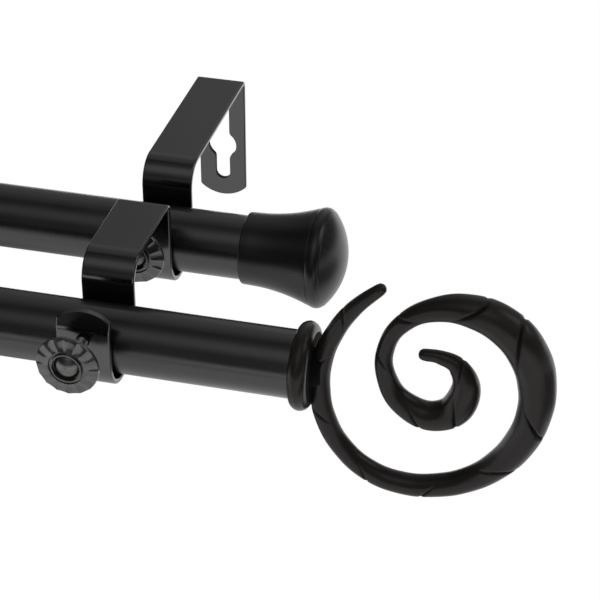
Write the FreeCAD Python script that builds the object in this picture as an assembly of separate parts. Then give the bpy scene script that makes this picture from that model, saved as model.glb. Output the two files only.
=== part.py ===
import FreeCAD, Part
import math
import os

V = FreeCAD.Vector

# Double telescoping curtain pole on two strap brackets, all sizes in millimetres.
# The wall is the plane Y = 0, the room is toward -Y, X runs along the poles, Z is up.
# The origin is the middle of the right bracket's keyhole on the wall.

# Poles
pole_d = 25.4
tube_wall = 1.0
slide_gap = 0.3
front_reach = 166.5
pole_pitch = 73.0
axis_up = 7.6
bracket_span = 560.8
front_end = 75.3
rear_end = 62.9
step_in = 26.0
inner_stop = 32.1

# Strap brackets
strap_w = 20.5
strap_t = 2.0
strap_edge = 0.7
cup_gap = 0.5
cup_corner = 11.5
arm_up = 24.2
bend_tight = 3.0
bend_wide = 10.5
plate_drop = 32.0
plate_round = 4.4
flange_up = 18.4
flange_lean = 18.0
lean_bend = 5.0
flange_round = 3.5
key_slot = 6.4
key_bulge = 12.4
key_low = 16.7
key_high = 20.5
key_soft = 2.5

# Thumb screws
screw_d = 5.0
screw_gap = 0.1
screw_up = 7.5
screw_len = 17.8
tip_gap = 0.3
front_backed_out = 3.5
knob_d = 23.4
knob_rim = 2.0
knob_cone = 1.0
flutes = 16
flute_deep = 0.5
hub_d = 7.2
hub_len = 4.0
ring_d = 11.8
ring_w = 0.8
dome_d = 9.7
dome_rise = 2.4
dome_sunk = 1.2

# Spiral finials
bead_d = 33.0
bead_w = 6.9
boss_d = 15.0
boss_len = 3.4
spiral_w = 91.5
groove_w = 0.9
groove_deep = 0.35
groove_tilt = 50.0
stud_d = 6.0
stud_gap = 0.1
stud_in_bead = 8.0
stud_in_plug = 12.0
plug_len = 18.0
plug_gap = 0.1

# Flared caps on the rear pole
cap_len = 40.3
cap_mouth_d = 28.6
cap_flare_d = 39.6
cap_gap = 0.15
cap_lip = 1.0

# Derived places
pole_r = pole_d / 2.0
bore_d = pole_d - 2.0 * tube_wall
inner_d = bore_d - 2.0 * slide_gap
inner_r = inner_d / 2.0
inner_bore_d = inner_d - 2.0 * tube_wall
front_y = -front_reach
rear_y = -front_reach + pole_pitch
left_x = -bracket_span
left_lift = pole_r - inner_r
front_left = left_x - front_end
rear_left = left_x - rear_end
outer_left = left_x + step_in
inner_right = front_end - max(inner_stop, plug_len + 2.0)
rear_inner_right = min(inner_right, rear_end - 2.0)
cup_r = pole_r + cup_gap
leg_mid = cup_r + strap_t / 2.0
leg_out = cup_r + strap_t


def strap_path(moves, start, heading):
    """Closed outline of a bent strip, traced from its middle line in the YZ plane."""
    half = strap_t / 2.0
    left = []
    right = []
    y, z = start
    h = math.radians(heading)

    def at(cy, cz, r, ang):
        return V(0, cy + r * math.cos(ang), cz + r * math.sin(ang))

    for move in moves:
        if move[0] == "line":
            y2 = y + move[1] * math.cos(h)
            z2 = z + move[1] * math.sin(h)
            ny = -math.sin(h) * half
            nz = math.cos(h) * half
            left.append(Part.LineSegment(V(0, y + ny, z + nz), V(0, y2 + ny, z2 + nz)).toShape())
            right.append(Part.LineSegment(V(0, y - ny, z - nz), V(0, y2 - ny, z2 - nz)).toShape())
            y, z = y2, z2
        else:
            r = move[1]
            turn = math.radians(move[2])
            side = 1.0 if turn > 0 else -1.0
            cy = y - side * r * math.sin(h)
            cz = z + side * r * math.cos(h)
            a0 = h - side * math.pi / 2.0
            a1 = a0 + turn / 2.0
            a2 = a0 + turn
            rl = r - side * half
            rr = r + side * half
            left.append(Part.Arc(at(cy, cz, rl, a0), at(cy, cz, rl, a1), at(cy, cz, rl, a2)).toShape())
            right.append(Part.Arc(at(cy, cz, rr, a0), at(cy, cz, rr, a1), at(cy, cz, rr, a2)).toShape())
            end = at(cy, cz, r, a2)
            y, z = end.y, end.z
            h = h + turn
    first = Part.LineSegment(right[0].Vertexes[0].Point, left[0].Vertexes[0].Point).toShape()
    last = Part.LineSegment(left[-1].Vertexes[-1].Point, right[-1].Vertexes[-1].Point).toShape()
    edges = [first] + left + [last] + right
    return Part.Wire(Part.__sortEdges__(edges))


def along_y(d, x, z, y0, y1):
    return Part.makeCylinder(d / 2.0, abs(y1 - y0), V(x, min(y0, y1), z), V(0, 1, 0))


def box(x0, x1, y0, y1, z0, z1):
    return Part.makeBox(x1 - x0, y1 - y0, z1 - z0, V(x0, y0, z0))


def make_bracket():
    tight = bend_tight - strap_t / 2.0
    wide = bend_wide - strap_t / 2.0
    arm_z = axis_up + arm_up - strap_t / 2.0
    plate_z = axis_up - plate_drop
    rear_leg = rear_y + leg_mid
    rear_front_leg = rear_y - leg_mid
    front_leg = front_y + leg_mid
    rise = arm_z - tight - axis_up
    fall = arm_z - wide - axis_up
    corner = min(cup_corner, leg_out) - strap_t / 2.0
    floor = 2.0 * (leg_mid - corner)
    dip = leg_mid - corner
    lean_from = screw_up + screw_d / 2.0 + screw_gap + 0.5
    cup = [("line", dip), ("arc", corner, -90.0), ("line", floor), ("arc", corner, -90.0), ("line", dip)]
    cup = [move for move in cup if move[0] == "arc" or move[1] > 0.01]
    moves = [
        ("line", arm_z - tight - plate_z),
        ("arc", tight, 90.0),
        ("line", (-strap_t / 2.0 - tight) - (rear_leg + wide)),
        ("arc", wide, 90.0),
        ("line", fall),
    ] + cup + [
        ("line", rise),
        ("arc", tight, 90.0),
        ("line", (rear_front_leg - tight) - (front_leg + wide)),
        ("arc", wide, 90.0),
        ("line", fall),
    ] + cup + [
        ("line", lean_from),
        ("arc", lean_bend, -flange_lean),
        ("line", flange_up - lean_from),
    ]
    wire = strap_path(moves, (-strap_t / 2.0, plate_z), 90.0)
    strap = Part.Face(wire).extrude(V(strap_w, 0, 0))
    half = strap_w / 2.0
    strap.translate(V(-half, 0, 0))

    # Rounded foot of the wall plate
    foot_r = (half * half + plate_round * plate_round) / (2.0 * plate_round)
    foot = box(-strap_w, strap_w, -strap_t - 1.0, 1.0, plate_z - 5.0, plate_z + plate_round)
    foot = foot.cut(along_y(2.0 * foot_r, 0, plate_z + foot_r, -strap_t - 2.0, 2.0))
    strap = strap.cut(foot)

    # Rounded top of the front flange
    top_z = axis_up + flange_up
    top_r = (half * half + flange_round * flange_round) / (2.0 * flange_round)
    y0 = front_y - leg_out - 1.0
    y1 = front_y - cup_r + 1.0 + flange_up * math.sin(math.radians(flange_lean))
    crown = box(-strap_w, strap_w, y0, y1, top_z - flange_round, top_z + 5.0)
    crown = crown.cut(along_y(2.0 * top_r, 0, top_z - top_r, y0 - 1.0, y1 + 1.0))
    strap = strap.cut(crown)

    # Softened outline of the strip
    rim = []
    for edge in strap.Edges:
        mid = edge.valueAt((edge.FirstParameter + edge.LastParameter) / 2.0)
        if abs(abs(mid.x) - half) < 0.001:
            ends = [abs(abs(v.Point.x) - half) < 0.001 for v in edge.Vertexes]
            straight_across = abs(edge.BoundBox.YLength - strap_t) < 0.01 and edge.BoundBox.ZLength < 0.01
            if all(ends) and not straight_across:
                rim.append(edge)
    strap = strap.makeFillet(strap_edge, rim)

    # Keyhole with a slot above and below its bulge
    slot_r = key_slot / 2.0
    hole = along_y(key_bulge, 0, 0, -strap_t - 1.0, 1.0)
    hole = hole.fuse(box(-slot_r, slot_r, -strap_t - 1.0, 1.0, -key_low + slot_r, key_high - slot_r))
    hole = hole.fuse(along_y(key_slot, 0, -key_low + slot_r, -strap_t - 1.0, 1.0))
    hole = hole.fuse(along_y(key_slot, 0, key_high - slot_r, -strap_t - 1.0, 1.0))
    hole = hole.removeSplitter()
    waist = math.sqrt((key_bulge / 2.0) ** 2 - slot_r ** 2)
    corners = []
    for edge in hole.Edges:
        mid = edge.valueAt((edge.FirstParameter + edge.LastParameter) / 2.0)
        if abs(abs(mid.x) - slot_r) < 0.01 and abs(abs(mid.z) - waist) < 0.01:
            corners.append(edge)
    hole = hole.makeFillet(key_soft, corners)
    strap = strap.cut(hole)

    # Holes for the two thumb screws
    for pole_y in (front_y, rear_y):
        bore = along_y(screw_d + 2.0 * screw_gap, 0, axis_up + screw_up,
                       pole_y - leg_out - 1.0, pole_y - cup_r + 1.0)
        strap = strap.cut(bore)
    return strap


def make_tube(outer, wall, x0, x1, y):
    centre = V(x0, y, axis_up)
    tube = Part.makeCylinder(outer / 2.0, x1 - x0, centre, V(1, 0, 0))
    rim = [e for e in tube.Edges if len(e.Vertexes) == 1]
    tube = tube.makeFillet(0.3, rim)
    bore = Part.makeCylinder(outer / 2.0 - wall, x1 - x0 + 2.0, centre - V(1, 0, 0), V(1, 0, 0))
    return tube.cut(bore)


# Middle line of the spiral from its outer tip to its inner tip: distance from the bead's
# middle along the pole, height above the pole axis, and thickness, for a 91.5 mm spiral.
spiral_line = [
    (28.6, 36.9, 4.4), (19.5, 27.6, 5.9), (12.5, 16.4, 6.8), (8.1, 4.1, 7.5),
    (7.1, -9.2, 7.7), (9.5, -22.2, 7.7), (15.8, -33.8, 7.7), (25.7, -42.4, 8.1),
    (38.3, -46.0, 8.4), (51.3, -44.6, 8.8), (63.3, -39.5, 9.4), (73.3, -31.0, 10.6),
    (80.7, -20.1, 11.8), (84.9, -7.7, 12.6), (85.5, 5.4, 13.7), (81.9, 18.0, 14.5),
    (73.5, 28.1, 13.9), (61.4, 33.0, 11.9), (48.4, 31.7, 8.8), (37.4, 24.6, 6.8),
    (31.2, 13.2, 6.3), (31.6, 0.2, 7.3), (38.8, -10.6, 9.5), (51.1, -13.2, 11.2),
    (59.7, -3.6, 11.6), (57.3, 8.8, 7.2), (50.7, 12.0, 5.1), (45.0, 12.2, 4.4),
]
spiral_ref_w = 91.5
spiral_bead_x = 1.5

# Slanted cuts across the spiral, as shares of its middle line
groove_at = [0.055, 0.112, 0.183, 0.264, 0.339, 0.421, 0.499,
             0.592, 0.658, 0.720, 0.785, 0.857, 0.906, 0.957]


def make_spiral(scale):
    points = [V((x - spiral_bead_x) * scale, d * scale, z * scale) for x, z, d in spiral_line]
    curve = Part.BSplineCurve()
    curve.interpolate(points)
    u0 = curve.FirstParameter
    u1 = curve.LastParameter

    def station(u):
        p = curve.value(u)
        t = curve.tangent(u)[0]
        run = V(t.x, 0, t.z)
        run.normalize()
        return V(p.x, 0, p.z), run, p.y

    def ring(u, less):
        c, run, d = station(u)
        circle = Part.Circle(V(0, 0, 0), V(0, 0, 1), d / 2.0 - less)
        wire = Part.Wire([circle.toShape()])
        turn = FreeCAD.Rotation(V(0, 1, 0), V(0, 0, 0), run, "ZYX")
        wire.Placement = FreeCAD.Placement(c, turn)
        return wire

    count = 64
    shares = [u0 + (u1 - u0) * i / count for i in range(count + 1)]
    body = Part.makeLoft([ring(u, 0.0) for u in shares], True, False)
    core = Part.makeLoft([ring(u, groove_deep) for u in shares], True, False)

    # Length along the middle line, to place the cuts
    runs = [0.0]
    fine = 600
    last = station(u0)[0]
    for i in range(1, fine + 1):
        here = station(u0 + (u1 - u0) * i / fine)[0]
        runs.append(runs[-1] + here.sub(last).Length)
        last = here
    slant = 1.0
    for share in groove_at:
        goal = share * runs[-1]
        i = min(k for k in range(fine + 1) if runs[k] >= goal)
        c, run, d = station(u0 + (u1 - u0) * i / fine)
        long = 1.6 * d / math.cos(math.radians(groove_tilt))
        slab = Part.makeBox(2.0 * d, long, groove_w, V(-d, -long / 2.0, -groove_w / 2.0))
        turn = FreeCAD.Rotation(V(0, 1, 0), V(0, 0, 0), run, "ZYX")
        lean = FreeCAD.Rotation(V(1, 0, 0), slant * groove_tilt)
        slab.Placement = FreeCAD.Placement(c, turn.multiply(lean))
        body = body.cut(slab)
        slant = -slant
    body = body.fuse(core)
    for u, way in ((u0, -1.0), (u1, 1.0)):
        c, run, d = station(u)
        tip = Part.makeSphere(d / 2.0, V(0, 0, 0), V(0, 0, 1), 0, 90, 360)
        turn = FreeCAD.Rotation(V(0, 1, 0), V(0, 0, 0), run.multiply(way), "ZYX")
        tip.Placement = FreeCAD.Placement(c, turn)
        body = body.fuse(tip)
    return body


def make_finial():
    """Finial with the middle of its bead at the origin and the spiral toward +X."""
    half = bead_w / 2.0
    round_r = min(half, bead_d / 4.0)
    mid_r = bead_d / 2.0 - round_r
    outline = [
        Part.LineSegment(V(-half, 0, 0), V(-half, 0, mid_r)).toShape(),
        Part.Arc(V(-half, 0, mid_r), V(0, 0, mid_r + round_r), V(half, 0, mid_r)).toShape(),
        Part.LineSegment(V(half, 0, mid_r), V(half, 0, 0)).toShape(),
        Part.LineSegment(V(half, 0, 0), V(-half, 0, 0)).toShape(),
    ]
    bead = Part.Face(Part.Wire(outline)).revolve(V(0, 0, 0), V(1, 0, 0), 360)
    boss = Part.makeCone(boss_d / 2.0, 0.4 * boss_d, boss_len, V(half - 0.2, 0, 0), V(1, 0, 0))
    body = make_spiral(spiral_w / spiral_ref_w)
    body = body.fuse(bead).fuse(boss)
    hole = Part.makeCylinder(stud_d / 2.0 + stud_gap, stud_in_bead + 0.3 + 1.0,
                             V(-half - 1.0, 0, 0), V(1, 0, 0))
    return body.cut(hole)


def make_plug(tube_bore):
    """Plug with its outer end at the origin, filling a tube toward -X."""
    plug = Part.makeCylinder(tube_bore / 2.0 - plug_gap, plug_len, V(-plug_len, 0, 0), V(1, 0, 0))
    hole = Part.makeCylinder(stud_d / 2.0 + stud_gap, plug_len + 2.0, V(-plug_len - 1.0, 0, 0), V(1, 0, 0))
    return plug.cut(hole)


def make_stud():
    return Part.makeCylinder(stud_d / 2.0, stud_in_plug + stud_in_bead, V(-stud_in_plug, 0, 0), V(1, 0, 0))


def make_cap(tube_d, depth):
    """Flared cap with its mouth at the origin and its domed end toward +X."""
    mouth = cap_mouth_d / 2.0
    flare = cap_flare_d / 2.0
    swell = flare - mouth
    curve = Part.BSplineCurve()
    curve.interpolate([
        V(cap_lip, 0, mouth),
        V(0.25 * cap_len, 0, mouth + 0.09 * swell),
        V(0.50 * cap_len, 0, mouth + 0.45 * swell),
        V(0.66 * cap_len, 0, mouth + 0.82 * swell),
        V(0.72 * cap_len, 0, mouth + 0.96 * swell),
        V(0.755 * cap_len, 0, flare),
        V(0.79 * cap_len, 0, flare - 0.05 * swell),
        V(0.82 * cap_len, 0, flare - 0.18 * swell),
    ])
    p1 = curve.value(curve.LastParameter)
    bulge = cap_len - p1.x
    ball = (p1.z * p1.z + bulge * bulge) / (2.0 * bulge)
    half = math.asin(p1.z / ball) / 2.0
    dome_mid = V(cap_len - ball + ball * math.cos(half), 0, ball * math.sin(half))
    outline = [
        Part.LineSegment(V(0, 0, 0), V(0, 0, mouth - cap_lip)).toShape(),
        Part.Arc(V(0, 0, mouth - cap_lip),
                 V(cap_lip * (1.0 - math.sqrt(0.5)), 0, mouth - cap_lip * (1.0 - math.sqrt(0.5))),
                 V(cap_lip, 0, mouth)).toShape(),
        curve.toShape(),
        Part.Arc(p1, dome_mid, V(cap_len, 0, 0)).toShape(),
        Part.LineSegment(V(cap_len, 0, 0), V(0, 0, 0)).toShape(),
    ]
    body = Part.Face(Part.Wire(outline)).revolve(V(0, 0, 0), V(1, 0, 0), 360)
    bore = Part.makeCylinder(tube_d / 2.0 + cap_gap, depth + 1.0, V(-1, 0, 0), V(1, 0, 0))
    return body.cut(bore)


def make_knob():
    """Knob facing +Z with its face at the origin."""
    rim = knob_d / 2.0
    bore = screw_d / 2.0 + screw_gap
    ring_r = ring_d / 2.0
    groove_r = ring_r + ring_w
    well_r = ring_r - ring_w
    hub = hub_d / 2.0
    back = -knob_cone - knob_rim
    outline = [
        (bore, -dome_sunk), (well_r, -dome_sunk), (well_r, 0.4), (ring_r, 0.4), (ring_r, -0.6),
        (groove_r, -0.6), (groove_r, 0.0), (rim - 0.4, -knob_cone + 0.1), (rim, -knob_cone - 0.3),
        (rim, back + 0.4), (rim - 0.4, back), (hub, back - 0.8), (hub, back - hub_len), (bore, back - hub_len),
    ]
    points = [V(r, 0, w) for r, w in outline]
    face = Part.Face(Part.makePolygon(points + [points[0]]))
    knob = face.revolve(V(0, 0, 0), V(0, 0, 1), 360)
    slope = knob_cone / (rim - groove_r)
    pitch = 2.0 * math.pi * rim / flutes
    chord = 0.9 * pitch
    fan = (chord * chord / 4.0 + flute_deep * flute_deep) / (2.0 * flute_deep) / rim
    lift = fan - flute_deep / rim - slope
    start = groove_r + 0.1
    reach = rim + 1.5 - start
    apex = slope * groove_r
    for i in range(flutes):
        ang = 2.0 * math.pi * i / flutes
        way = V(math.cos(ang), math.sin(ang), lift)
        foot = V(start * math.cos(ang), start * math.sin(ang), apex + lift * start)
        cutter = Part.makeCone(fan * start, fan * (start + reach), reach, foot, way)
        knob = knob.cut(cutter)
    return knob


def make_screw():
    """Domed screw facing +Z, level with the knob's face at the origin."""
    shank = Part.makeCylinder(screw_d / 2.0, screw_len - dome_sunk, V(0, 0, -screw_len), V(0, 0, 1))
    tip = [e for e in shank.Edges if len(e.Vertexes) == 1 and e.BoundBox.ZMax < -screw_len + 0.01]
    shank = shank.makeChamfer(0.5, tip)
    half = dome_d / 2.0
    ball = (half * half + dome_rise * dome_rise) / (2.0 * dome_rise)
    dome = Part.makeSphere(ball, V(0, 0, dome_rise - dome_sunk - ball))
    head = dome.common(Part.makeCylinder(dome_d, 2.0 * dome_rise, V(0, 0, -dome_sunk), V(0, 0, 1)))
    return shank.fuse(head)


def outward(shape, x, y, z):
    """Place a shape that faces +Z so that it faces the room."""
    done = shape.copy()
    done.Placement = FreeCAD.Placement(V(x, y, z), FreeCAD.Rotation(V(1, 0, 0), 90))
    return done


def knob_y(pole_y, radius, up, backed_out):
    low = up - screw_d / 2.0
    touch = math.sqrt(max(radius * radius - low * low, 1.0))
    return pole_y - touch - tip_gap - screw_len - backed_out


def moved(shape, x, y, z):
    done = shape.copy()
    done.translate(V(x, y, z))
    return done


def save(shape, name):
    solid = shape.removeSplitter()
    if len(solid.Solids) == 1:
        solid = solid.Solids[0]
    solid.exportStep(os.path.join("parts", name + ".step"))


os.makedirs("parts", exist_ok=True)

bracket = make_bracket()
save(bracket, "bracket_right")
save(moved(bracket, left_x, 0, left_lift), "bracket_left")

save(make_tube(pole_d, tube_wall, outer_left, front_end, front_y), "front_tube_outer")
save(make_tube(inner_d, tube_wall, front_left, inner_right, front_y), "front_tube_inner")
save(make_tube(pole_d, tube_wall, outer_left, rear_end, rear_y), "rear_tube_outer")
save(make_tube(inner_d, tube_wall, rear_left, rear_inner_right, rear_y), "rear_tube_inner")

finial = make_finial()
save(moved(finial, front_end + bead_w / 2.0, front_y, axis_up), "finial_right")
mirrored = finial.mirror(V(0, 0, 0), V(1, 0, 0))
save(moved(mirrored, front_left - bead_w / 2.0, front_y, axis_up), "finial_left")

stud = make_stud()
save(moved(stud, front_end, front_y, axis_up), "finial_stud_right")
save(moved(stud.mirror(V(0, 0, 0), V(1, 0, 0)), front_left, front_y, axis_up), "finial_stud_left")
save(moved(make_plug(bore_d), front_end, front_y, axis_up), "end_plug_right")
left_plug = make_plug(inner_bore_d).mirror(V(0, 0, 0), V(1, 0, 0))
save(moved(left_plug, front_left, front_y, axis_up), "end_plug_left")

cap_mouth = rear_end + 14.0 - cap_len
cap_depth = rear_end - cap_mouth + cap_gap
save(moved(make_cap(pole_d, cap_depth), cap_mouth, rear_y, axis_up), "end_cap_right")
left_cap = make_cap(inner_d, cap_depth).mirror(V(0, 0, 0), V(1, 0, 0))
save(moved(left_cap, left_x - cap_mouth, rear_y, axis_up), "end_cap_left")

knob = make_knob()
screw = make_screw()
places = [
    ("front_right", 0.0, front_y, pole_r, 0.0, front_backed_out),
    ("rear_right", 0.0, rear_y, pole_r, 0.0, 0.0),
    ("front_left", left_x, front_y, inner_r, left_lift, front_backed_out),
    ("rear_left", left_x, rear_y, inner_r, left_lift, 0.0),
]
for name, x, pole_y, radius, lift, backed_out in places:
    y = knob_y(pole_y, radius, screw_up + lift, backed_out)
    z = axis_up + screw_up + lift
    save(outward(knob, x, y, z), "thumb_knob_" + name)
    save(outward(screw, x, y, z), "thumb_screw_" + name)
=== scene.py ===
import math

import bpy
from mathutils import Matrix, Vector


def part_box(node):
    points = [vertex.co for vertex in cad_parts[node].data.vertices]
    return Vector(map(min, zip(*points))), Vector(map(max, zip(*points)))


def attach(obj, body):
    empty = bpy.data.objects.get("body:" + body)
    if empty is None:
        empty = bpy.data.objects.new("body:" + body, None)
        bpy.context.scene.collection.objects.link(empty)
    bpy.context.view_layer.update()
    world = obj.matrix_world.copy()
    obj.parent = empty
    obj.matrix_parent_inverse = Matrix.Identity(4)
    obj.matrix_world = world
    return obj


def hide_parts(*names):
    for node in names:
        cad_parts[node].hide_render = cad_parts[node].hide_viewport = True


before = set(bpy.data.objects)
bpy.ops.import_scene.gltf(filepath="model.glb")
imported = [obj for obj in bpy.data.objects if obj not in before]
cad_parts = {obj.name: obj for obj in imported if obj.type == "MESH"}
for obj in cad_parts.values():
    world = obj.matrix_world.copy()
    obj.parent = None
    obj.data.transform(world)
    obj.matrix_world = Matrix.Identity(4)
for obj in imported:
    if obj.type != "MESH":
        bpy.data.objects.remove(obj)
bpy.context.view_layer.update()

MM = 0.001
WELD = 0.002 * MM


def let_go():
    """Nothing is selected when a new piece is begun."""
    if bpy.context.mode != "OBJECT":
        bpy.ops.object.mode_set(mode="OBJECT")
    bpy.ops.object.select_all(action="DESELECT")


def work_on(piece):
    let_go()
    piece.select_set(True)
    bpy.context.view_layer.objects.active = piece


def pick_points(piece, wanted):
    """Select the points of a piece that pass a test, ready for an edit-mode tool."""
    work_on(piece)
    bpy.ops.object.mode_set(mode="EDIT")
    bpy.ops.mesh.select_mode(type="VERT")
    bpy.ops.mesh.select_all(action="DESELECT")
    bpy.ops.object.mode_set(mode="OBJECT")
    for point in piece.data.vertices:
        point.select = wanted(point.co)
    bpy.ops.object.mode_set(mode="EDIT")


def pick_numbers(piece, numbers):
    """Select the points of a piece by their numbers, ready for an edit-mode tool."""
    pick_points(piece, lambda co: False)
    bpy.ops.object.mode_set(mode="OBJECT")
    for number in numbers:
        piece.data.vertices[number].select = True
    bpy.ops.object.mode_set(mode="EDIT")


def join_to(piece, other):
    """The other piece becomes part of the first."""
    let_go()
    other.select_set(True)
    piece.select_set(True)
    bpy.context.view_layer.objects.active = piece
    bpy.ops.object.join()


def close_openings(piece, sides):
    """Openings of up to so many sides are filled, or all of them for 0, and the faces look outward."""
    work_on(piece)
    bpy.ops.object.mode_set(mode="EDIT")
    bpy.ops.mesh.select_all(action="SELECT")
    bpy.ops.mesh.fill_holes(sides=sides)
    bpy.ops.mesh.select_all(action="SELECT")
    bpy.ops.mesh.normals_make_consistent(inside=False)
    bpy.ops.object.mode_set(mode="OBJECT")


def discard(*patterns):
    """Patterns that have been copied to their places are taken away."""
    let_go()
    for pattern in patterns:
        pattern.select_set(True)
    bpy.ops.object.delete()


def finish_modifiers(piece):
    work_on(piece)
    for step in list(piece.modifiers):
        bpy.ops.object.modifier_apply(modifier=step.name)


def turned(name, profile, steps):
    """A lathe-turned piece about Z: profile is (radius, height) in millimetres, drawn point by point."""
    let_go()
    bpy.ops.mesh.primitive_plane_add(size=0.001, location=(0, 0, 0))
    piece = bpy.context.active_object
    piece.name = name
    bpy.ops.object.mode_set(mode="EDIT")
    bpy.ops.mesh.select_all(action="SELECT")
    bpy.ops.mesh.merge(type="CENTER")
    pen = Vector((0, 0, 0))
    for index, (radius, height) in enumerate(profile):
        goal = Vector((radius * MM, 0, height * MM))
        step = goal - pen
        if index == 0:
            bpy.ops.transform.translate(value=step)
        else:
            bpy.ops.mesh.extrude_vertices_move(TRANSFORM_OT_translate={"value": step})
        pen = goal
    bpy.ops.mesh.select_all(action="SELECT")
    bpy.ops.mesh.spin(steps=steps, angle=2.0 * math.pi, center=(0, 0, 0), axis=(0, 0, 1))
    bpy.ops.mesh.select_all(action="SELECT")
    bpy.ops.mesh.remove_doubles(threshold=WELD)
    bpy.ops.mesh.normals_make_consistent(inside=False)
    bpy.ops.object.mode_set(mode="OBJECT")
    return piece


def face_the_room(piece):
    """A piece turned about Z is laid so that its +Z end looks into the room, toward -Y."""
    work_on(piece)
    piece.rotation_euler = (math.radians(90), 0, 0)
    bpy.ops.object.transform_apply(location=True, rotation=True, scale=True)


def point_right(piece):
    """A piece turned about Z is laid along the pole, its +Z end toward +X."""
    work_on(piece)
    piece.rotation_euler = (0, math.radians(90), 0)
    bpy.ops.object.transform_apply(location=True, rotation=True, scale=True)


def make_left_handed(piece):
    """The piece is turned into its mirror image for the left end of a pole."""
    work_on(piece)
    bpy.ops.object.mode_set(mode="EDIT")
    bpy.ops.mesh.select_all(action="SELECT")
    bpy.ops.transform.resize(value=(-1, 1, 1), center_override=(0, 0, 0))
    bpy.ops.mesh.normals_make_consistent(inside=False)
    bpy.ops.object.mode_set(mode="OBJECT")


def copy_to(piece, name, place):
    """A copy with its own mesh, its place worked into the mesh."""
    work_on(piece)
    bpy.ops.object.duplicate(linked=False)
    twin = bpy.context.active_object
    twin.name = name
    twin.data.name = name
    bpy.ops.object.mode_set(mode="EDIT")
    bpy.ops.mesh.select_all(action="SELECT")
    bpy.ops.transform.translate(value=place)
    bpy.ops.object.mode_set(mode="OBJECT")
    return twin


# Shared surface effects


def new_group(name, inputs, outputs):
    group = bpy.data.node_groups.new(name, "ShaderNodeTree")
    for label, kind, value in inputs:
        socket = group.interface.new_socket(name=label, in_out="INPUT", socket_type=kind)
        socket.default_value = value
    for label, kind in outputs:
        group.interface.new_socket(name=label, in_out="OUTPUT", socket_type=kind)
    way_in = group.nodes.new("NodeGroupInput")
    way_out = group.nodes.new("NodeGroupOutput")
    return group, way_in, way_out


def node(tree, kind, **settings):
    made = tree.nodes.new(kind)
    for key, value in settings.items():
        setattr(made, key, value)
    return made


def paint_skin_group():
    """Sprayed paint: the fine orange peel of the coat, and slow drifts in how well it flowed out."""
    group, way_in, way_out = new_group(
        "sprayed_paint_skin",
        [("Vector", "NodeSocketVector", (0, 0, 0)), ("Peel Size", "NodeSocketFloat", 900.0),
         ("Gloss Low", "NodeSocketFloat", 0.25), ("Gloss High", "NodeSocketFloat", 0.4)],
        [("Roughness", "NodeSocketFloat"), ("Height", "NodeSocketFloat"), ("Drift", "NodeSocketFloat")])
    link = group.links.new
    peel = node(group, "ShaderNodeTexNoise", noise_dimensions="3D")
    peel.inputs["Detail"].default_value = 2.0
    peel.inputs["Roughness"].default_value = 0.45
    link(way_in.outputs["Vector"], peel.inputs["Vector"])
    link(way_in.outputs["Peel Size"], peel.inputs["Scale"])
    drift = node(group, "ShaderNodeTexNoise", noise_dimensions="3D")
    drift.inputs["Scale"].default_value = 42.0
    drift.inputs["Detail"].default_value = 3.0
    link(way_in.outputs["Vector"], drift.inputs["Vector"])
    spread = node(group, "ShaderNodeMapRange")
    spread.inputs["From Min"].default_value = 0.3
    spread.inputs["From Max"].default_value = 0.7
    link(drift.outputs["Fac"], spread.inputs["Value"])
    link(way_in.outputs["Gloss Low"], spread.inputs["To Min"])
    link(way_in.outputs["Gloss High"], spread.inputs["To Max"])
    link(spread.outputs["Result"], way_out.inputs["Roughness"])
    link(peel.outputs["Fac"], way_out.inputs["Height"])
    link(drift.outputs["Fac"], way_out.inputs["Drift"])
    return group


def dust_group():
    """A few pale specks of dust and lint that settle on surfaces that look up."""
    group, way_in, way_out = new_group(
        "settled_dust",
        [("Vector", "NodeSocketVector", (0, 0, 0)), ("Amount", "NodeSocketFloat", 0.3)],
        [("Mask", "NodeSocketFloat")])
    link = group.links.new
    specks = node(group, "ShaderNodeTexVoronoi", feature="F1")
    specks.inputs["Scale"].default_value = 260.0
    link(way_in.outputs["Vector"], specks.inputs["Vector"])
    small = node(group, "ShaderNodeMapRange", clamp=True)
    small.inputs["From Min"].default_value = 0.09
    small.inputs["From Max"].default_value = 0.03
    link(specks.outputs["Distance"], small.inputs["Value"])
    few = node(group, "ShaderNodeTexNoise", noise_dimensions="3D")
    few.inputs["Scale"].default_value = 70.0
    few.inputs["Detail"].default_value = 1.0
    link(way_in.outputs["Vector"], few.inputs["Vector"])
    patch = node(group, "ShaderNodeMapRange", clamp=True)
    patch.inputs["From Min"].default_value = 0.56
    patch.inputs["From Max"].default_value = 0.72
    link(few.outputs["Fac"], patch.inputs["Value"])
    surface = node(group, "ShaderNodeNewGeometry")
    split = node(group, "ShaderNodeSeparateXYZ")
    link(surface.outputs["Normal"], split.inputs["Vector"])
    upward = node(group, "ShaderNodeMapRange", clamp=True)
    upward.inputs["From Min"].default_value = 0.1
    upward.inputs["From Max"].default_value = 0.9
    link(split.outputs["Z"], upward.inputs["Value"])
    mask = small.outputs["Result"]
    for factor in (patch.outputs["Result"], upward.outputs["Result"], way_in.outputs["Amount"]):
        product = node(group, "ShaderNodeMath", operation="MULTIPLY")
        link(mask, product.inputs[0])
        link(factor, product.inputs[1])
        mask = product.outputs["Value"]
    link(mask, way_out.inputs["Mask"])
    return group


paint_skin = paint_skin_group()
settled_dust = dust_group()


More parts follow.
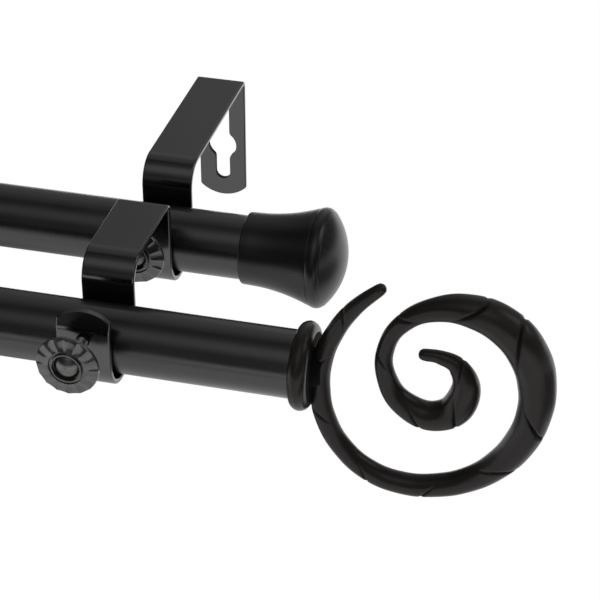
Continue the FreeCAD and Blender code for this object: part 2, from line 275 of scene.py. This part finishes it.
def painted(name, deep, thin, gloss, peel_size, peel_height, level, dust, unevenness=0.0):
    """Black paint on metal: two near blacks drifting into each other, an orange-peel skin, a little dust."""
    finish = bpy.data.materials.new(name)
    finish.use_nodes = True
    tree = finish.node_tree
    link = tree.links.new
    shader = tree.nodes["Principled BSDF"]
    place = node(tree, "ShaderNodeTexCoord")
    skin = node(tree, "ShaderNodeGroup")
    skin.node_tree = paint_skin
    skin.inputs["Peel Size"].default_value = peel_size
    skin.inputs["Gloss Low"].default_value = gloss[0]
    skin.inputs["Gloss High"].default_value = gloss[1]
    link(place.outputs["Object"], skin.inputs["Vector"])
    blend = node(tree, "ShaderNodeMix", data_type="RGBA")
    blend.inputs["A"].default_value = (*deep, 1)
    blend.inputs["B"].default_value = (*thin, 1)
    link(skin.outputs["Drift"], blend.inputs["Factor"])
    lint = node(tree, "ShaderNodeGroup")
    lint.node_tree = settled_dust
    lint.inputs["Amount"].default_value = dust
    link(place.outputs["Object"], lint.inputs["Vector"])
    dusty = node(tree, "ShaderNodeMix", data_type="RGBA")
    dusty.inputs["B"].default_value = (0.35, 0.34, 0.32, 1)
    link(lint.outputs["Mask"], dusty.inputs["Factor"])
    link(blend.outputs["Result"], dusty.inputs["A"])
    link(dusty.outputs["Result"], shader.inputs["Base Color"])
    link(skin.outputs["Roughness"], shader.inputs["Roughness"])
    bump = node(tree, "ShaderNodeBump")
    bump.inputs["Strength"].default_value = 0.35
    bump.inputs["Distance"].default_value = peel_height * MM
    link(skin.outputs["Height"], bump.inputs["Height"])
    link(bump.outputs["Normal"], shader.inputs["Normal"])
    if unevenness:
        swell = node(tree, "ShaderNodeBump")
        swell.inputs["Distance"].default_value = unevenness * MM
        link(skin.outputs["Drift"], swell.inputs["Height"])
        link(swell.outputs["Normal"], bump.inputs["Normal"])
    shader.inputs["Specular IOR Level"].default_value = level
    return finish


BRACKET_SPAN = 560.8 * MM
KEYHOLE_HALF = 6.6 * MM
KEYHOLE_MIDDLE = 2.0 * MM
KEYHOLE_REACH = 20.0 * MM
PLATE_BEHIND = -2.1 * MM


def dull_punched_walls(finish, span):
    """The walls of the punched keyholes hold little paint and are dull."""
    tree = finish.node_tree
    link = tree.links.new
    shader = tree.nodes["Principled BSDF"]
    place = node(tree, "ShaderNodeTexCoord")
    at = node(tree, "ShaderNodeSeparateXYZ")
    link(place.outputs["Object"], at.inputs["Vector"])
    surface = node(tree, "ShaderNodeNewGeometry")
    facing = node(tree, "ShaderNodeSeparateXYZ")
    link(surface.outputs["Normal"], facing.inputs["Vector"])

    def reckon(operation, first, second=None):
        step = node(tree, "ShaderNodeMath", operation=operation)
        for socket, value in zip(step.inputs, (first, second)):
            if isinstance(value, float):
                socket.default_value = value
            elif value is not None:
                link(value, socket)
        return step.outputs["Value"]

    from_middle = reckon("ABSOLUTE", reckon("ADD", at.outputs["X"], span / 2.0))
    from_bracket = reckon("ABSOLUTE", reckon("SUBTRACT", from_middle, span / 2.0))
    inside = reckon("LESS_THAN", from_bracket, KEYHOLE_HALF)
    in_plate = reckon("GREATER_THAN", at.outputs["Y"], PLATE_BEHIND)
    from_hole = reckon("ABSOLUTE", reckon("SUBTRACT", at.outputs["Z"], KEYHOLE_MIDDLE))
    near_hole = reckon("LESS_THAN", from_hole, KEYHOLE_REACH)
    wall = reckon("LESS_THAN", reckon("ABSOLUTE", facing.outputs["Y"]), 0.5)
    mask = reckon("MULTIPLY", reckon("MULTIPLY", inside, in_plate), reckon("MULTIPLY", near_hole, wall))
    coat = shader.inputs["Roughness"].links[0].from_socket
    dull = node(tree, "ShaderNodeMix", data_type="FLOAT")
    dull.inputs["B"].default_value = 0.95
    link(mask, dull.inputs["Factor"])
    link(coat, dull.inputs["A"])
    link(dull.outputs["Result"], shader.inputs["Roughness"])


def shade_and_dull_chisel_cuts(finish):
    """The chisel cuts, which the bar's own cut attribute marks, get painted shade, a near-black colour, and
    are dull.
    """
    tree = finish.node_tree
    link = tree.links.new
    shader = tree.nodes["Principled BSDF"]
    cut = node(tree, "ShaderNodeAttribute", attribute_name="cut")
    colour = shader.inputs["Base Color"].links[0].from_socket
    # Painted shade: the colour in the cuts goes to near black
    shade = node(tree, "ShaderNodeMix", data_type="RGBA")
    shade.inputs["B"].default_value = (0.0015, 0.0013, 0.0012, 1)
    link(cut.outputs["Fac"], shade.inputs["Factor"])
    link(colour, shade.inputs["A"])
    link(shade.outputs["Result"], shader.inputs["Base Color"])
    coat = shader.inputs["Roughness"].links[0].from_socket
    dull = node(tree, "ShaderNodeMix", data_type="FLOAT")
    dull.inputs["B"].default_value = 0.9
    link(cut.outputs["Fac"], dull.inputs["Factor"])
    link(coat, dull.inputs["A"])
    link(dull.outputs["Result"], shader.inputs["Roughness"])


def drawn_steel(name):
    """Plain drawn steel with fine marks along the stud."""
    finish = bpy.data.materials.new(name)
    finish.use_nodes = True
    tree = finish.node_tree
    link = tree.links.new
    shader = tree.nodes["Principled BSDF"]
    shader.inputs["Metallic"].default_value = 1.0
    place = node(tree, "ShaderNodeTexCoord")
    stretch = node(tree, "ShaderNodeMapping")
    stretch.inputs["Scale"].default_value = (40, 900, 900)
    link(place.outputs["Object"], stretch.inputs["Vector"])
    marks = node(tree, "ShaderNodeTexNoise", noise_dimensions="3D")
    marks.inputs["Scale"].default_value = 2.0
    marks.inputs["Detail"].default_value = 4.0
    link(stretch.outputs["Vector"], marks.inputs["Vector"])
    tone = node(tree, "ShaderNodeMix", data_type="RGBA")
    tone.inputs["A"].default_value = (0.42, 0.42, 0.43, 1)
    tone.inputs["B"].default_value = (0.58, 0.57, 0.56, 1)
    link(marks.outputs["Fac"], tone.inputs["Factor"])
    link(tone.outputs["Result"], shader.inputs["Base Color"])
    rough = node(tree, "ShaderNodeMapRange")
    rough.inputs["To Min"].default_value = 0.28
    rough.inputs["To Max"].default_value = 0.45
    link(marks.outputs["Fac"], rough.inputs["Value"])
    link(rough.outputs["Result"], shader.inputs["Roughness"])
    return finish


# Each finish: its two near blacks, range of roughness, size and height of the orange peel, specular level,
# amount of dust and, on the casting, the height of slow swells

strap_paint = painted("strap_semi_gloss_black", (0.0028, 0.0027, 0.0027), (0.005, 0.0047, 0.0046),
                      (0.12, 0.20), 1100.0, 0.012, 1.0, 0.2)
dull_punched_walls(strap_paint, BRACKET_SPAN)
pole_paint = painted("pole_satin_black", (0.0028, 0.0026, 0.0026), (0.005, 0.0046, 0.0044),
                     (0.24, 0.32), 1200.0, 0.02, 0.74, 0.15)
finial_paint = painted("finial_satin_brown_black", (0.0190, 0.0160, 0.0148), (0.0285, 0.0239, 0.0221),
                       (0.28, 0.36), 800.0, 0.03, 0.25, 0.25, 0.5)
# Painted shade darkens the finial's chisel cuts, which are also dull
shade_and_dull_chisel_cuts(finial_paint)
# Painted shade: a dull near-black for the crevice between the bead and the spiral
crevice_painted_shade = painted("finial_crevice_painted_shade", (0.003, 0.0027, 0.0026), (0.005, 0.0045, 0.0043),
                        (0.80, 0.92), 800.0, 0.04, 0.12, 0.0)
cap_paint = painted("cap_satin_black", (0.0070, 0.0066, 0.0065), (0.0105, 0.0099, 0.0097),
                    (0.28, 0.36), 1100.0, 0.02, 0.40, 0.15)
knob_paint = painted("knob_semi_gloss_black", (0.030, 0.030, 0.030), (0.042, 0.041, 0.041),
                     (0.18, 0.27), 1500.0, 0.02, 1.0, 0.15)
screw_plating = painted("screw_black_nickel", (0.10, 0.099, 0.097), (0.14, 0.138, 0.135),
                        (0.24, 0.34), 1500.0, 0.02, 0.5, 0.1)
screw_plating.node_tree.nodes["Principled BSDF"].inputs["Metallic"].default_value = 1.0
plug_plastic = painted("plug_matte_black", (0.018, 0.018, 0.018), (0.026, 0.026, 0.026),
                       (0.55, 0.7), 700.0, 0.04, 0.5, 0.0)
stud_steel = drawn_steel("stud_drawn_steel")

finishes = {
    "bracket": strap_paint, "front_tube": pole_paint, "rear_tube": pole_paint,
    "finial_right": finial_paint, "finial_left": finial_paint, "finial_stud": stud_steel,
    "end_plug": plug_plastic, "end_cap": cap_paint, "thumb_knob": knob_paint, "thumb_screw": screw_plating,
}
for name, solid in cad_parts.items():
    for start, finish in finishes.items():
        if name.startswith(start):
            solid.data.materials.clear()
            solid.data.materials.append(finish)


# Fluted knobs

knob_low, knob_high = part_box("thumb_knob_front_right")
KNOB_R = (knob_high.x - knob_low.x) / 2.0 / MM
FACE_FROM = 6.7
CONE = 1.0
BACK = -CONE - 2.0
BORE_R = 2.6
HUB_R = 3.6
knob_profile = [
    (BORE_R, -1.2), (5.1, -1.2), (5.15, 0.25), (5.3, 0.4), (5.75, 0.4), (5.9, 0.25), (5.95, -0.45),
    (6.1, -0.6), (6.5, -0.6), (6.65, -0.45), (FACE_FROM, -0.05), (6.85, 0.0), (7.4, -0.13 * CONE),
    (8.8, -0.39 * CONE), (10.2, -0.66 * CONE), (KNOB_R - 0.5, 0.12 - CONE), (KNOB_R - 0.15, -0.05 - CONE),
    (KNOB_R, -0.35 - CONE), (KNOB_R, BACK + 0.5), (KNOB_R - 0.15, BACK + 0.15), (KNOB_R - 0.5, BACK),
    (8.0, BACK - 0.5), (HUB_R + 0.3, BACK - 0.9), (HUB_R, BACK - 1.2), (HUB_R, BACK - 3.8),
    (HUB_R - 0.2, BACK - 4.0), (BORE_R, BACK - 4.0), (BORE_R, -1.2),
]
FLUTES = 16
PER_FLUTE = 8
FLUTE_DEEP = 0.45 * MM
RING_RISE = 0.4 * MM
FLUTE_STEPS = 10
knob = turned("knob_pattern", knob_profile, FLUTES * PER_FLUTE)


def flute_share(point):
    """How deep the flute is at a point of the knob's face: 0 on a ridge, 1 along the middle of a flute."""
    radius = math.hypot(point.x, point.y) / MM
    if radius < FACE_FROM + 0.4 or point.z / MM < -1.4:
        return 0.0
    turn = (math.atan2(point.y, point.x) / (2.0 * math.pi) * FLUTES) % 1.0
    across = 1.0 - abs(2.0 * turn - 1.0)
    hollow = 1.0 - (1.0 - min(across / 0.85, 1.0)) ** 2
    return hollow * min((radius - FACE_FROM) / (KNOB_R - FACE_FROM) + 0.25, 1.0)


for step in range(1, FLUTE_STEPS + 1):
    low = (step - 0.5) / FLUTE_STEPS
    high = (step + 0.5) / FLUTE_STEPS
    pick_numbers(knob, [p.index for p in knob.data.vertices if low <= flute_share(p.co) < high])
    bpy.ops.transform.translate(value=(0, 0, -FLUTE_DEEP * step / FLUTE_STEPS))
    bpy.ops.object.mode_set(mode="OBJECT")
face_the_room(knob)
bpy.ops.object.shade_smooth_by_angle(angle=math.radians(28))

# Domed screws with a cut thread

PITCH = 0.8
CORE_R = 2.1
TIP = -17.8
THREAD_TURNS = 12
THREAD_STEPS = 32
screw_profile = [
    (0.0, 1.2), (0.9, 1.13), (1.9, 0.88), (2.8, 0.5), (3.6, 0.02), (4.2, -0.42), (4.65, -0.85),
    (4.8, -1.05), (4.7, -1.2), (CORE_R, -1.2), (CORE_R, TIP + 0.6), (CORE_R - 0.4, TIP), (0.0, TIP),
]
screw = turned("screw_pattern", screw_profile, 48)
let_go()
bpy.ops.mesh.primitive_circle_add(vertices=4, radius=0.42 * MM, rotation=(math.radians(90), 0, 0),
                                  location=((CORE_R - 0.05) * MM, 0, (TIP + 0.8) * MM))
thread = bpy.context.active_object
bpy.ops.object.transform_apply(location=True, rotation=True, scale=True)
winding = thread.modifiers.new("winding", "SCREW")
winding.axis = "Z"
winding.angle = 2.0 * math.pi
winding.screw_offset = PITCH * MM
winding.iterations = THREAD_TURNS
winding.steps = THREAD_STEPS
winding.render_steps = THREAD_STEPS
finish_modifiers(thread)
bpy.ops.object.mode_set(mode="EDIT")
bpy.ops.mesh.select_all(action="SELECT")
bpy.ops.mesh.remove_doubles(threshold=WELD)
close_openings(thread, 8)
join_to(screw, thread)
face_the_room(screw)
bpy.ops.object.shade_smooth_by_angle(angle=math.radians(35))

for spot in ("front_right", "rear_right", "front_left", "rear_left"):
    low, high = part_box("thumb_knob_" + spot)
    place = Vector(((low.x + high.x) / 2.0, low.y + RING_RISE, (low.z + high.z) / 2.0))
    grip = copy_to(knob, "fluted_knob_" + spot, place)
    grip.data.materials.clear()
    grip.data.materials.append(knob_paint)
    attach(grip, "knob_" + spot)
    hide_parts("thumb_knob_" + spot)
    bolt = copy_to(screw, "threaded_screw_" + spot, place)
    bolt.data.materials.clear()
    bolt.data.materials.append(screw_plating)
    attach(bolt, "screw_" + spot)
    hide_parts("thumb_screw_" + spot)

discard(knob, screw)

# Spiral finials

BEAD_W = 6.9
bead_profile = [
    (0.0, 4.85), (3.1, 4.85), (3.1, -3.45), (12.9, -3.45), (13.9, -3.32), (14.9, -2.9), (15.7, -2.2),
    (16.25, -1.2), (16.5, 0.0), (16.25, 1.2), (15.7, 2.2), (14.9, 2.9), (13.9, 3.32), (12.9, 3.45),
    (7.5, 3.45), (6.0, 6.6), (0.0, 6.6),
]
# Middle line of the bar, from its outer tip to its inner tip: distance from the bead's middle along
# the pole, height above the pole's axis, and thickness
bar_line = [
    (27.1, 36.9, 4.4), (18.0, 27.6, 5.9), (11.0, 16.4, 6.8), (6.6, 4.1, 7.5), (5.6, -9.2, 7.7),
    (8.0, -22.2, 7.7), (14.3, -33.8, 7.7), (24.2, -42.4, 8.1), (36.8, -46.0, 8.4), (49.8, -44.6, 8.8),
    (61.8, -39.5, 9.4), (71.8, -31.0, 10.6), (79.2, -20.1, 11.8), (83.4, -7.7, 12.6), (84.0, 5.4, 13.7),
    (80.4, 18.0, 14.5), (72.0, 28.1, 13.9), (59.9, 33.0, 11.9), (46.9, 31.7, 8.8), (35.9, 24.6, 6.8),
    (29.7, 13.2, 6.3), (30.1, 0.2, 7.3), (37.3, -10.6, 9.5), (49.6, -13.2, 11.2), (58.2, -3.6, 11.6),
    (55.8, 8.8, 7.2), (49.2, 12.0, 5.1), (43.5, 12.2, 4.4),
]
# Chisel cuts across the bar, as shares of the middle line, and their lean off square
cut_shares = [0.055, 0.112, 0.183, 0.264, 0.339, 0.421, 0.499,
              0.592, 0.658, 0.720, 0.785, 0.857, 0.906, 0.957]
CUT_LEAN = math.radians(50)
coil_middle = Vector((47.0 * MM, 0, -3.0 * MM))
AROUND = 96
FLAT_SHARE = 0.004
CHISEL_STEPS = 14
# Depth of a chisel cut at which its painted shade and dullness are full
SHADE_AND_DULL_FROM = 0.6 * MM


def round_tip(line, end, inward):
    """Knots past one end of the bar that draw it in to a rounded tip."""
    x, z, thick = line[end]
    way = Vector((x - line[inward][0], z - line[inward][1])).normalized()
    knots = []
    for reach in (0.55, 0.87, 1.0):
        step = way * (reach * thick / 2.0)
        knots.append((x + step.x, z + step.y, thick * max(math.sqrt(1.0 - reach * reach), 0.06)))
    return knots


def bent_bar(name):
    """The bar, drawn as a curve that swells and thins, with a section that has faint flats along it."""
    let_go()
    bpy.ops.mesh.primitive_circle_add(vertices=AROUND, radius=1.0 * MM)
    section = bpy.context.active_object

    def swell(co):
        around = math.atan2(co.y, co.x)
        return round(1.3 * math.cos(5 * around + 0.6) + 1.0 * math.cos(9 * around + 2.0))

    for flat in (-2, -1, 1, 2):
        pick_points(section, lambda co: swell(co) == flat)
        bpy.ops.transform.resize(value=(1.0 + FLAT_SHARE * flat,) * 3, center_override=(0, 0, 0))
    bpy.ops.object.mode_set(mode="OBJECT")
    bpy.ops.object.convert(target="CURVE")
    let_go()
    bpy.ops.curve.primitive_bezier_curve_add(radius=MM)
    bar = bpy.context.active_object
    bar.name = name
    knots = round_tip(bar_line, 0, 1)[::-1] + bar_line + round_tip(bar_line, -1, -2)
    draw = bar.data.splines[0]
    draw.bezier_points.add(len(knots) - 2)
    draw.radius_interpolation = "CARDINAL"
    for knot, (x, z, thick) in zip(draw.bezier_points, knots):
        knot.co = (x * MM, 0, z * MM)
        knot.handle_left_type = "AUTO"
        knot.handle_right_type = "AUTO"
        knot.radius = thick / 2.0
    bar.data.dimensions = "3D"
    bar.data.resolution_u = 24
    bar.data.bevel_mode = "OBJECT"
    bar.data.bevel_object = section
    work_on(bar)
    bpy.ops.object.convert(target="MESH")
    bar = bpy.context.active_object
    discard(section)
    return bar


def chisel_depths(bar):
    """How deep the chisel goes at each point of the bar, in metres, by the point's number."""
    points = bar.data.vertices
    rings = len(points) // AROUND
    middles = []
    for ring in range(rings):
        total = Vector((0, 0, 0))
        for point in range(ring * AROUND, (ring + 1) * AROUND):
            total += points[point].co
        middles.append(total / AROUND)
    along = [0.0]
    for here, there in zip(middles, middles[1:]):
        along.append(along[-1] + (there - here).length)
    first_tip = bar_line[0][2] / 2.0 * MM
    last_tip = bar_line[-1][2] / 2.0 * MM
    depths = {}
    lean = CUT_LEAN
    for share in cut_shares:
        goal = first_tip + share * (along[-1] - first_tip - last_tip)
        ring = min(range(rings), key=lambda k: abs(along[k] - goal))
        middle = middles[ring]
        run = (middles[min(ring + 2, rings - 1)] - middles[max(ring - 2, 0)]).normalized()
        side = run.cross(Vector((0, 1, 0)))
        outer = side if side.dot(middle - coil_middle) > 0 else -side
        across = run * math.cos(lean) - side * math.sin(lean)
        radius = max(abs(points[ring * AROUND + k].co.y) for k in range(AROUND))
        deep = 0.12 * radius + 0.1 * MM
        wide = 0.09 * radius + 0.35 * MM
        for near in range(rings):
            if abs(along[near] - along[ring]) > 3.2 * radius:
                continue
            for number in range(near * AROUND, (near + 1) * AROUND):
                offset = points[number].co - middle
                out = offset.dot(outer) / radius
                bite = min(max((out + 1.0) / 1.2, 0.0), 1.0)
                bite = bite * bite * (3.0 - 2.0 * bite)
                face = min(1.5 * abs(points[number].co.y) / radius, 1.0)
                half = wide * (0.35 + 0.65 * bite)
                valley = 1.0 - abs(offset.dot(across)) / half
                if valley > 0.0:
                    depth = deep * bite * face * min(1.3 * valley, 1.0)
                    depths[number] = max(depths.get(number, 0.0), depth)
        lean = -lean
    return depths


bar = bent_bar("spiral_bar")
depths = chisel_depths(bar)
deepest = max(depths.values())
work_on(bar)
# The cut attribute masks the painted shade and the dullness in the chisel cuts
bpy.ops.geometry.attribute_add(name="cut", domain="POINT", data_type="FLOAT")
for number, depth in depths.items():
    bar.data.attributes["cut"].data[number].value = min(depth / SHADE_AND_DULL_FROM, 1.0)
for step in range(1, CHISEL_STEPS + 1):
    pick_numbers(bar, [n for n, depth in depths.items() if round(CHISEL_STEPS * depth / deepest) == step])
    bpy.ops.transform.shrink_fatten(value=-deepest * step / CHISEL_STEPS)
    bpy.ops.object.mode_set(mode="OBJECT")

bead = turned("bead", bead_profile, 96)
for piece in (bar, bead):
    piece.data.materials.append(finial_paint)
    piece.data.materials.append(crevice_painted_shade)
# The bead's face toward the spiral, and the boss on it, get the dull near-black painted shade of the crevice
for face in bead.data.polygons:
    if face.center.z > (BEAD_W / 2.0 - 0.05) * MM:
        face.material_index = 1
point_right(bead)
join_to(bar, bead)
close_openings(bar, 0)
bpy.ops.object.shade_smooth_by_angle(angle=math.radians(40))

for side, body, tube in (("right", "fixed", "front_tube_outer"), ("left", "front_slider", "front_tube_inner")):
    low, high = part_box(tube)
    place = (low + high) / 2.0
    if side == "right":
        place.x = high.x + BEAD_W / 2.0 * MM
    else:
        place.x = low.x - BEAD_W / 2.0 * MM
        make_left_handed(bar)
    coil = copy_to(bar, "spiral_finial_" + side, place)
    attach(coil, body)
    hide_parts("finial_" + side)
discard(bar)

# Flared caps of the rear pole, each with a raised ring round the foot of its domed end

CAP_LEN = 40.3
CAP_DEPTH = 26.45
CAP_GAP = 0.15
DOME_R = 28.03
DOME_EDGE = math.radians(41.4)
DOME_STEPS = 10
cap_flare = [
    (13.55, 0.0), (13.9, 0.1), (14.2, 0.42), (14.3, 1.0), (14.38, 4.0), (14.55, 7.5), (14.85, 10.5),
    (15.3, 13.5), (15.9, 16.7), (16.65, 19.8), (17.5, 22.8), (18.3, 25.3), (18.95, 27.2),
    (19.05, 27.6), (19.05, 27.9), (19.3, 28.3), (19.6, 29.0), (19.78, 29.8), (19.8, 30.5), (19.7, 31.3),
    (19.42, 32.0), (19.0, 32.6), (18.7, 32.85), (18.58, 33.0),
]
cap_dome = []
for step in range(DOME_STEPS + 1):
    lean = DOME_EDGE * (1.0 - step / DOME_STEPS)
    cap_dome.append((DOME_R * math.sin(lean), CAP_LEN - DOME_R + DOME_R * math.cos(lean)))
for side, body, tube in (("right", "fixed", "rear_tube_outer"), ("left", "rear_slider", "rear_tube_inner")):
    low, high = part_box(tube)
    bore = (high.z - low.z) / 2.0 / MM + CAP_GAP
    socket = [(0.0, CAP_DEPTH), (bore, CAP_DEPTH), (bore, 0.3), (bore + 0.3, 0.0)]
    cap = turned("cap_pattern", socket + cap_flare + cap_dome, 96)
    point_right(cap)
    place = (low + high) / 2.0
    place.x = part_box("end_cap_" + side)[0].x
    if side == "left":
        make_left_handed(cap)
        place.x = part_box("end_cap_" + side)[1].x
    work_on(cap)
    bpy.ops.object.shade_smooth_by_angle(angle=math.radians(30))
    flared = copy_to(cap, "flared_cap_" + side, place)
    flared.data.materials.append(cap_paint)
    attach(flared, body)
    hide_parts("end_cap_" + side)
    discard(cap)

# White floor, well below the pole

FLOOR_Z = -0.42
FLOOR_R = 7.0
GLOW_SHARE = 0.9
SEEN_WHITE = 1.08
let_go()
bpy.ops.mesh.primitive_circle_add(vertices=96, radius=FLOOR_R, fill_type="NGON",
                                  location=(-0.28, -0.1, FLOOR_Z))
floor = bpy.context.active_object
floor.name = "white_floor"
bpy.ops.object.transform_apply(location=True, rotation=True, scale=True)
white = bpy.data.materials.new("white_sweep")
white.use_nodes = True
tree = white.node_tree
link = tree.links.new
shader = tree.nodes["Principled BSDF"]
shader.inputs["Base Color"].default_value = (0.86, 0.86, 0.86, 1)
shader.inputs["Roughness"].default_value = 0.9
shader.inputs["Specular IOR Level"].default_value = 0.0
rays = node(tree, "ShaderNodeLightPath")
seen = node(tree, "ShaderNodeMath", operation="ADD", use_clamp=True)
link(rays.outputs["Is Camera Ray"], seen.inputs[0])
link(rays.outputs["Is Glossy Ray"], seen.inputs[1])
seen_all = node(tree, "ShaderNodeMath", operation="ADD", use_clamp=True)
link(seen.outputs["Value"], seen_all.inputs[0])
link(rays.outputs["Is Transmission Ray"], seen_all.inputs[1])
share = node(tree, "ShaderNodeMath", operation="MULTIPLY")
share.inputs[1].default_value = GLOW_SHARE
link(seen_all.outputs["Value"], share.inputs[0])
glow = node(tree, "ShaderNodeEmission")

# The floor's glow, seen only in reflections, carries painted light and shade: dimmed patches off to the sides
# and a brighter far floor.
# Each patch: its middle, where its fade begins and ends, and the share of light inside and outside
spot = node(tree, "ShaderNodeTexCoord")
lit = None
painted_floor_patches = [
    ((-0.52, 0.05), 0.26, 0.50, 0.25, 1.0), ((0.58, -0.50), 0.10, 0.32, 0.15, 1.0),
    ((1.35, -0.1), 0.62, 0.90, 0.12, 1.0), ((0.0, -0.17), 0.3, 1.3, 1.03, 1.5),
    ((-0.42, -1.40), 0.15, 0.45, 0.25, 1.0),
]
for (x, y), begin, end, inside, outside in painted_floor_patches:
    away = node(tree, "ShaderNodeVectorMath", operation="DISTANCE")
    away.inputs[1].default_value = (x, y, FLOOR_Z)
    link(spot.outputs["Object"], away.inputs[0])
    fade = node(tree, "ShaderNodeMapRange", interpolation_type="SMOOTHSTEP")
    fade.inputs["From Min"].default_value = begin
    fade.inputs["From Max"].default_value = end
    fade.inputs["To Min"].default_value = inside
    fade.inputs["To Max"].default_value = outside
    link(away.outputs["Value"], fade.inputs["Value"])
    if lit is None:
        lit = fade.outputs["Result"]
    else:
        product = node(tree, "ShaderNodeMath", operation="MULTIPLY")
        link(lit, product.inputs[0])
        link(fade.outputs["Result"], product.inputs[1])
        lit = product.outputs["Value"]
plain = node(tree, "ShaderNodeMix", data_type="FLOAT")
plain.inputs["B"].default_value = SEEN_WHITE
link(rays.outputs["Is Camera Ray"], plain.inputs["Factor"])
link(lit, plain.inputs["A"])
link(plain.outputs["Result"], glow.inputs["Strength"])
both = node(tree, "ShaderNodeMixShader")
link(share.outputs["Value"], both.inputs["Fac"])
link(shader.outputs["BSDF"], both.inputs[1])
link(glow.outputs["Emission"], both.inputs[2])
link(both.outputs["Shader"], tree.nodes["Material Output"].inputs["Surface"])
floor.data.materials.append(white)

# Studio: brightness of the room by angle, from the horizon behind the camera, over the top, to the wall

room_light = [
    (0, 0.07), (14, 0.21), (27, 0.14), (38, 0.28), (50, 0.54), (63, 0.52), (79, 0.19),
    (97, 0.085), (113, 0.12), (130, 0.21), (147, 0.30), (165, 0.34), (180, 0.24),
]
# The same room from left to right, by the sideways part of the direction
room_across = [
    (-0.65, 0.34), (-0.35, 0.82), (-0.25, 1.04), (-0.12, 1.9), (0.1, 2.0), (0.35, 1.0), (0.65, 0.4),
]


def set_stops(ramp, levels):
    ramp.color_ramp.interpolation = "EASE"
    stops = ramp.color_ramp.elements
    while len(stops) < len(levels):
        stops.new(0.5)
    for stop, (position, level) in zip(stops, levels):
        stop.position = position
        stop.color = (level, level, level, 1)


studio = bpy.data.worlds.new("studio")
bpy.context.scene.world = studio
studio.use_nodes = True
sky = studio.node_tree
link = sky.links.new
ground = sky.nodes["Background"]
ground.inputs["Color"].default_value = (1, 0.99, 0.98, 1)
way = node(sky, "ShaderNodeTexCoord")
parts = node(sky, "ShaderNodeSeparateXYZ")
link(way.outputs["Generated"], parts.inputs["Vector"])
forward = node(sky, "ShaderNodeMath", operation="MULTIPLY")
forward.inputs[1].default_value = -1.0
link(parts.outputs["Y"], forward.inputs[0])
swing = node(sky, "ShaderNodeMath", operation="ARCTAN2")
link(parts.outputs["Z"], swing.inputs[0])
link(forward.outputs["Value"], swing.inputs[1])
half_turn = node(sky, "ShaderNodeMath", operation="DIVIDE")
half_turn.inputs[1].default_value = math.pi
link(swing.outputs["Value"], half_turn.inputs[0])
ramp = node(sky, "ShaderNodeValToRGB")
set_stops(ramp, [(angle / 180.0, share) for angle, share in room_light])
link(half_turn.outputs["Value"], ramp.inputs["Fac"])
from_left = node(sky, "ShaderNodeMapRange")
from_left.inputs["From Min"].default_value = -1.0
link(parts.outputs["X"], from_left.inputs["Value"])
across = node(sky, "ShaderNodeValToRGB")
set_stops(across, [((x + 1.0) / 2.0, share) for x, share in room_across])
link(from_left.outputs["Result"], across.inputs["Fac"])
level = node(sky, "ShaderNodeMath", operation="MULTIPLY")
link(ramp.outputs["Color"], level.inputs[0])
link(across.outputs["Color"], level.inputs[1])
link(level.outputs["Value"], ground.inputs["Strength"])


def soft_lamp(name, place, aim, size, power):
    let_go()
    bpy.ops.object.light_add(type="AREA", location=place)
    lamp = bpy.context.active_object
    lamp.name = name
    lamp.data.shape = "DISK"
    lamp.data.size = size
    lamp.data.energy = power
    lamp.rotation_euler = (Vector(aim) - Vector(place)).to_track_quat("-Z", "Y").to_euler()
    return lamp


soft_lamp("right_window", (1.5, 0.3, 1.3), (0.0, -0.1, 0.0), 1.2, 6.0)
soft_lamp("high_back", (-0.7, 0.9, 1.7), (-0.1, -0.1, 0.0), 1.6, 1.2)

# Camera, at the photograph's angle

LOOK_DOWN = 32.928
LOOK_LEFT = 14.403
bpy.ops.object.camera_add(location=(0.23439, -0.77976, 0.44552),
                          rotation=(math.radians(90 - LOOK_DOWN), 0, math.radians(LOOK_LEFT)))
camera = bpy.context.active_object
camera.data.sensor_width = 36.0
camera.data.lens = 128.15
camera.data.clip_start = 0.01
bpy.context.scene.camera = camera

bpy.context.scene.view_settings.view_transform = "Standard"
